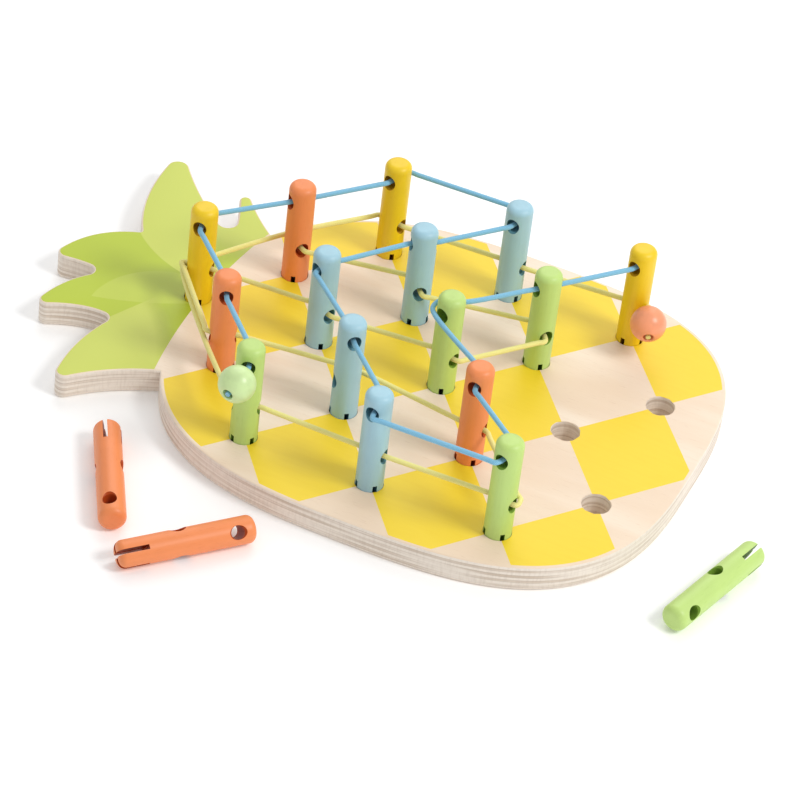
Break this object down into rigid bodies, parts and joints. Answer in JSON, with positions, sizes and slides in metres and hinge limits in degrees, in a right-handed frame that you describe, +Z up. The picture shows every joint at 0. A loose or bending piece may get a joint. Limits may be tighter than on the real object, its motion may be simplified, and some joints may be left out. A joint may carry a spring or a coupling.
{
  "type": "lacing peg board toy",
  "caption": "Pineapple-shaped plywood board with blind holes, removable wooden pegs with cross holes, and two laces threaded through them, each ending in a ball bead.",
  "frame": {"origin": "on the board's flat underside, directly below the middle hole of the fruit", "axes": "+X along the pineapple from its crown to the foot of the fruit, +Y across it, +Z up out of the board"},
  "size_m": [0.347, 0.2694, 0.062],
  "materials": {
    "board": "smooth birch plywood",
    "yellow_peg": "stained wood, satin",
    "orange_peg": "stained wood, satin",
    "blue_peg": "stained wood, satin",
    "green_peg": "stained wood, satin",
    "blue_lace": "round braided cord",
    "yellow_lace": "round braided cord",
    "green_bead": "painted wood, satin",
    "orange_bead": "painted wood, satin"
  },
  "bodies": {
    "board": {"pineapple_board": "board", "blue_lace": "blue_lace", "yellow_lace": "yellow_lace"},
    "yellow_peg_1": {"yellow_peg_1": "yellow_peg"},
    "orange_peg_1": {"orange_peg_1": "orange_peg"},
    "yellow_peg_2": {"yellow_peg_2": "yellow_peg"},
    "blue_peg_1": {"blue_peg_1": "blue_peg"},
    "orange_peg_2": {"orange_peg_2": "orange_peg"},
    "blue_peg_2": {"blue_peg_2": "blue_peg"},
    "blue_peg_3": {"blue_peg_3": "blue_peg"},
    "green_peg_1": {"green_peg_1": "green_peg"},
    "yellow_peg_3": {"yellow_peg_3": "yellow_peg"},
    "green_peg_2": {"green_peg_2": "green_peg"},
    "blue_peg_4": {"blue_peg_4": "blue_peg"},
    "green_peg_3": {"green_peg_3": "green_peg"},
    "blue_peg_5": {"blue_peg_5": "blue_peg"},
    "orange_peg_3": {"orange_peg_3": "orange_peg"},
    "green_peg_4": {"green_peg_4": "green_peg"},
    "loose_orange_peg_1": {"loose_orange_peg_1": "orange_peg"},
    "loose_orange_peg_2": {"loose_orange_peg_2": "orange_peg"},
    "loose_green_peg": {"loose_green_peg": "green_peg"},
    "green_bead": {"green_bead": "green_bead"},
    "orange_bead": {"orange_bead": "orange_bead"}
  },
  "joints": [
    {"name": "yellow_peg_1_lift", "type": "slide", "parent": "board", "child": "yellow_peg_1", "axis": [0, 0, 1], "range_m": [0, 0.015], "deforming": ["blue_lace", "yellow_lace"]},
    {"name": "orange_peg_1_lift", "type": "slide", "parent": "board", "child": "orange_peg_1", "axis": [0, 0, 1], "range_m": [0, 0.015]},
    {"name": "yellow_peg_2_lift", "type": "slide", "parent": "board", "child": "yellow_peg_2", "axis": [0, 0, 1], "range_m": [0, 0.015]},
    {"name": "blue_peg_1_lift", "type": "slide", "parent": "board", "child": "blue_peg_1", "axis": [0, 0, 1], "range_m": [0, 0.015]},
    {"name": "orange_peg_2_lift", "type": "slide", "parent": "board", "child": "orange_peg_2", "axis": [0, 0, 1], "range_m": [0, 0.015]},
    {"name": "blue_peg_2_lift", "type": "slide", "parent": "board", "child": "blue_peg_2", "axis": [0, 0, 1], "range_m": [0, 0.015]},
    {"name": "blue_peg_3_lift", "type": "slide", "parent": "board", "child": "blue_peg_3", "axis": [0, 0, 1], "range_m": [0, 0.015]},
    {"name": "green_peg_1_lift", "type": "slide", "parent": "board", "child": "green_peg_1", "axis": [0, 0, 1], "range_m": [0, 0.015]},
    {"name": "yellow_peg_3_lift", "type": "slide", "parent": "board", "child": "yellow_peg_3", "axis": [0, 0, 1], "range_m": [0, 0.015]},
    {"name": "green_peg_2_lift", "type": "slide", "parent": "board", "child": "green_peg_2", "axis": [0, 0, 1], "range_m": [0, 0.015]},
    {"name": "blue_peg_4_lift", "type": "slide", "parent": "board", "child": "blue_peg_4", "axis": [0, 0, 1], "range_m": [0, 0.015]},
    {"name": "green_peg_3_lift", "type": "slide", "parent": "board", "child": "green_peg_3", "axis": [0, 0, 1], "range_m": [0, 0.015]},
    {"name": "blue_peg_5_lift", "type": "slide", "parent": "board", "child": "blue_peg_5", "axis": [0, 0, 1], "range_m": [0, 0.015]},
    {"name": "orange_peg_3_lift", "type": "slide", "parent": "board", "child": "orange_peg_3", "axis": [0, 0, 1], "range_m": [0, 0.015]},
    {"name": "green_peg_4_lift", "type": "slide", "parent": "board", "child": "green_peg_4", "axis": [0, 0, 1], "range_m": [0, 0.015]},
    {"name": "loose_orange_peg_1_lift", "type": "slide", "parent": "board", "child": "loose_orange_peg_1", "axis": [0, 0, 1], "range_m": [0, 0.03]},
    {"name": "loose_orange_peg_2_lift", "type": "slide", "parent": "board", "child": "loose_orange_peg_2", "axis": [0, 0, 1], "range_m": [0, 0.03]},
    {"name": "loose_green_peg_lift", "type": "slide", "parent": "board", "child": "loose_green_peg", "axis": [0, 0, 1], "range_m": [0, 0.03]},
    {"name": "green_bead_turn", "type": "hinge", "parent": "green_peg_2", "child": "green_bead", "pos_m": [-0.05749, -0.08894, 0.0518], "axis": [-0.1005, -0.9898, -0.1005], "range_deg": [-180, 180]},
    {"name": "orange_bead_turn", "type": "hinge", "parent": "yellow_peg_3", "child": "orange_bead", "pos_m": [0.06922, 0.06321, 0.0317], "axis": [0.3794, -0.8787, -0.2896], "range_deg": [-180, 180]}
  ]
}
